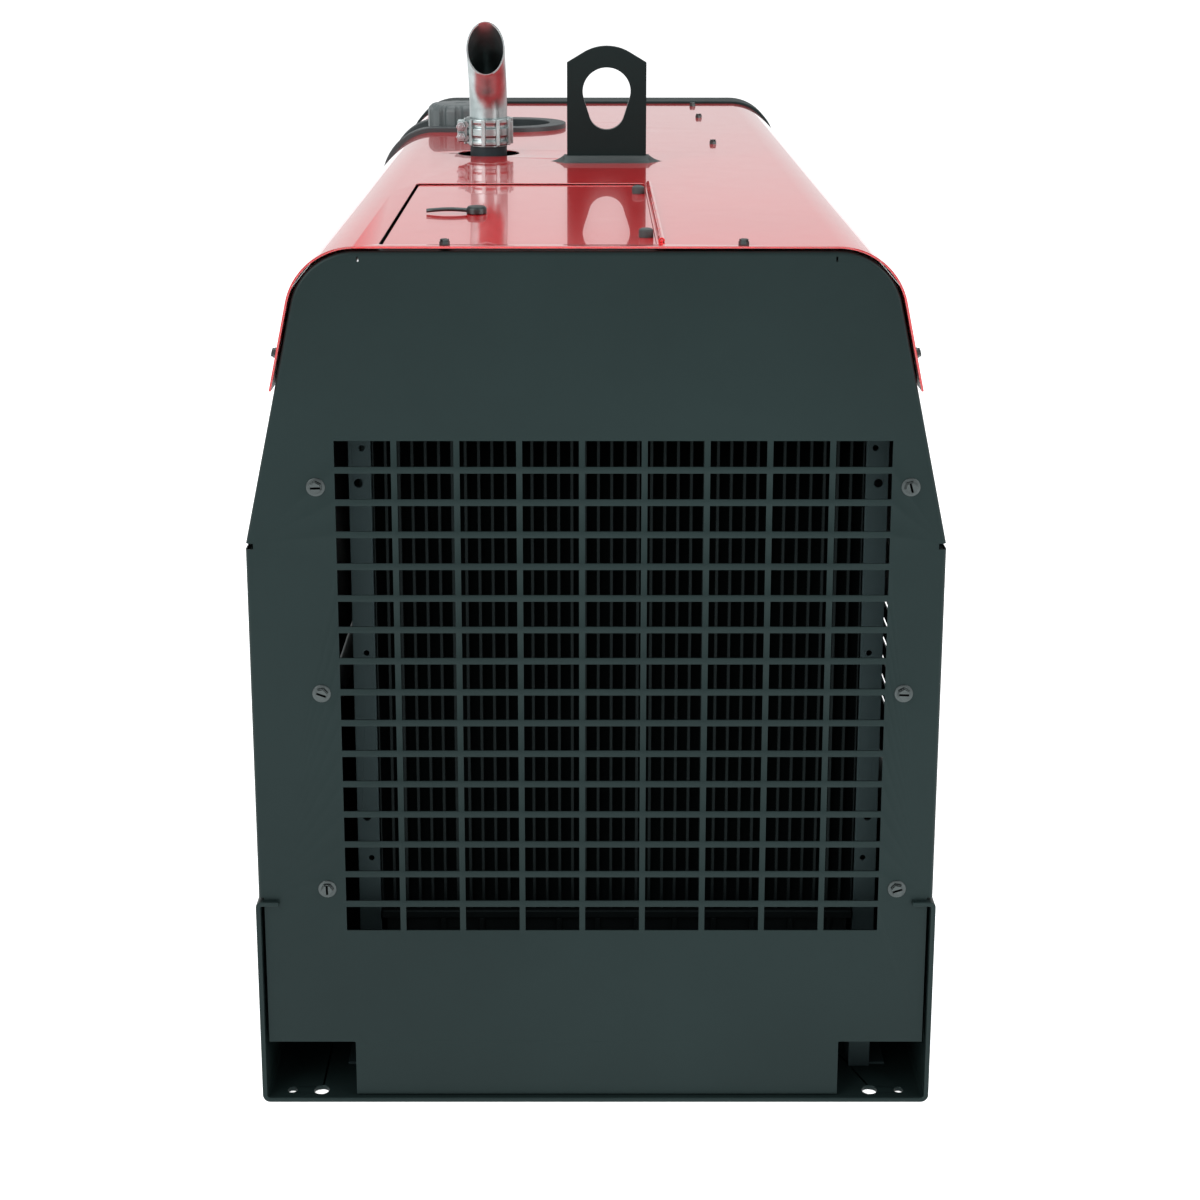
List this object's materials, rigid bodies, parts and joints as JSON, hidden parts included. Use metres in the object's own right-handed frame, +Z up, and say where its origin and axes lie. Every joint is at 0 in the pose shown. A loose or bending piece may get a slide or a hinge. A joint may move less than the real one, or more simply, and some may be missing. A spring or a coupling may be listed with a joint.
{
  "type": "engine driven welder",
  "caption": "Enclosed engine driven welder generator: sheet case on a base tray, radiator end grille, lifting eye, exhaust stack, side doors and control panel.",
  "frame": {"origin": "on the floor, under the middle of the machine's box", "axes": "+Z up, +Y towards the control end along the longest side, -Y the radiator end, +X to the right of a person facing the radiator end"},
  "size_m": [0.722, 1.6, 1.0931],
  "materials": {
    "frame_black": "satin black powder coat",
    "hood_red": "high gloss red enamel",
    "screw_dark": "blackened steel",
    "zinc_steel": "zinc plated steel",
    "chrome": "chrome plate",
    "muffler_steel": "heat resistant black paint",
    "rubber": "moulded rubber",
    "black_plastic": "moulded black plastic",
    "radiator_black": "matt black",
    "bracket_grey": "grey primer",
    "panel_face": "fine textured black",
    "engine_grey": "painted cast iron",
    "pressed_black": "gloss black",
    "cast_aluminium": "as cast",
    "stud_brass": "bright",
    "button_red": "gloss"
  },
  "bodies": {
    "case": {"base_tray": "frame_black", "base_rails": "frame_black", "rubber_mounts": "rubber", "end_panel": "frame_black", "panel_screws": "screw_dark", "hood": "hood_red", "hood_screws": "screw_dark", "lift_frame": "frame_black", "lift_bail": "frame_black", "bail_boot": "rubber", "muffler": "muffler_steel", "exhaust_downpipe": "muffler_steel", "exhaust_elbow": "chrome", "exhaust_clamp": "chrome", "fuel_spill_tray": "black_plastic", "fuel_tank": "black_plastic", "front_frame": "frame_black", "control_panel": "panel_face", "side_panels": "frame_black", "door_hinges": "zinc_steel", "filler_door_hinge": "hood_red", "radiator_core": "radiator_black", "radiator_tanks": "radiator_black", "radiator_brackets": "bracket_grey", "fan_shroud": "black_plastic", "coolant_hoses": "rubber", "engine_block": "engine_grey", "valve_cover": "pressed_black", "oil_pan": "pressed_black", "air_cleaner": "black_plastic", "drive_belt": "rubber", "alternator": "cast_aluminium", "generator_stator": "engine_grey", "battery": "black_plastic", "power_module": "cast_aluminium", "bulkhead": "frame_black", "output_studs": "stud_brass", "receptacles": "black_plastic", "gauges": "black_plastic"},
    "radiator_cap": {"radiator_cap": "zinc_steel"},
    "fuel_cap_insert": {"fuel_cap_insert": "black_plastic"},
    "fuel_cap": {"fuel_cap": "black_plastic"},
    "left_door": {"left_door": "frame_black"},
    "right_door": {"right_door": "frame_black"},
    "left_door_latch": {"left_door_latch": "zinc_steel"},
    "right_door_latch": {"right_door_latch": "zinc_steel"},
    "filler_door": {"filler_door": "hood_red", "filler_door_bumpers": "rubber"},
    "filler_door_latch": {"filler_door_latch": "screw_dark"},
    "crank": {"crankshaft": "engine_grey", "generator_rotor": "engine_grey"},
    "fan": {"fan": "black_plastic"},
    "alternator_rotor": {"alternator_pulley": "cast_aluminium"},
    "output_cover": {"output_cover": "black_plastic"},
    "receptacle_lid": {"receptacle_lid": "black_plastic"},
    "output_knob": {"output_knob": "black_plastic"},
    "arc_knob": {"arc_knob": "black_plastic"},
    "mode_selector": {"mode_selector": "black_plastic"},
    "run_switch": {"run_switch": "zinc_steel"},
    "start_button": {"start_button": "button_red"}
  },
  "joints": [
    {"name": "right_door_hinge", "type": "hinge", "parent": "case", "child": "right_door", "pos_m": [0.356, 0.203, 0.4], "axis": [0, 0, 1], "range_deg": [0, 110]},
    {"name": "left_door_hinge", "type": "hinge", "parent": "case", "child": "left_door", "pos_m": [-0.356, 0.203, 0.4], "axis": [0, 0, 1], "range_deg": [-110, 0]},
    {"name": "right_door_latch_turn", "type": "hinge", "parent": "right_door", "child": "right_door_latch", "pos_m": [0.35, -0.7, 0.48], "axis": [1, 0, 0], "range_deg": [0, 90]},
    {"name": "left_door_latch_turn", "type": "hinge", "parent": "left_door", "child": "left_door_latch", "pos_m": [-0.35, -0.7, 0.48], "axis": [1, 0, 0], "range_deg": [-90, 0]},
    {"name": "filler_door_hinge", "type": "hinge", "parent": "case", "child": "filler_door", "pos_m": [0.064, -0.551, 0.9175], "axis": [0, 1, 0], "range_deg": [0, 160]},
    {"name": "filler_door_latch_turn", "type": "hinge", "parent": "filler_door", "child": "filler_door_latch", "pos_m": [-0.128, -0.56, 0.914], "axis": [0, 0, 1], "range_deg": [0, 90]},
    {"name": "radiator_cap_turn", "type": "hinge", "parent": "case", "child": "radiator_cap", "pos_m": [-0.06, -0.707, 0.84], "axis": [0, 0, 1], "range_deg": [0, 90]},
    {"name": "fuel_cap_lift", "type": "slide", "parent": "case", "child": "fuel_cap_insert", "axis": [0, 0, 1], "range_m": [0, 0.05]},
    {"name": "fuel_cap_turn", "type": "hinge", "parent": "fuel_cap_insert", "child": "fuel_cap", "pos_m": [-0.199, 0.34, 0.925], "axis": [0, 0, 1], "range_deg": [0, 90]},
    {"name": "crank_spin", "type": "hinge", "parent": "case", "child": "crank", "pos_m": [0.016, 0, 0.33], "axis": [0, 1, 0], "continuous": true},
    {"name": "fan_spin", "type": "hinge", "parent": "case", "child": "fan", "pos_m": [0.016, -0.59, 0.5], "axis": [0, 1, 0], "continuous": true},
    {"name": "alternator_spin", "type": "hinge", "parent": "case", "child": "alternator_rotor", "pos_m": [-0.155, -0.43, 0.54], "axis": [0, 1, 0], "continuous": true},
    {"name": "output_cover_hinge", "type": "hinge", "parent": "case", "child": "output_cover", "pos_m": [0.195, 0.767, 0.421], "axis": [1, 0, 0], "range_deg": [0, 100]},
    {"name": "receptacle_lid_hinge", "type": "hinge", "parent": "case", "child": "receptacle_lid", "pos_m": [-0.2, 0.767, 0.531], "axis": [1, 0, 0], "range_deg": [0, 100]},
    {"name": "output_knob_turn", "type": "hinge", "parent": "case", "child": "output_knob", "pos_m": [0.15, 0.76, 0.66], "axis": [0, 1, 0], "range_deg": [0, 300]},
    {"name": "arc_knob_turn", "type": "hinge", "parent": "case", "child": "arc_knob", "pos_m": [0.06, 0.76, 0.66], "axis": [0, 1, 0], "range_deg": [0, 300]},
    {"name": "mode_selector_turn", "type": "hinge", "parent": "case", "child": "mode_selector", "pos_m": [-0.04, 0.76, 0.66], "axis": [0, 1, 0], "range_deg": [-60, 60]},
    {"name": "run_switch_tilt", "type": "hinge", "parent": "case", "child": "run_switch", "pos_m": [-0.13, 0.76, 0.66], "axis": [1, 0, 0], "range_deg": [-12, 12]},
    {"name": "start_button_press", "type": "slide", "parent": "case", "child": "start_button", "axis": [0, -1, 0], "range_m": [0, 0.004], "stiffness_N_per_m": 600}
  ],
  "couplings": [
    {"joint": "fan_spin", "follows": "crank_spin", "ratio": 1.0909},
    {"joint": "alternator_spin", "follows": "crank_spin", "ratio": 1.875}
  ]
}
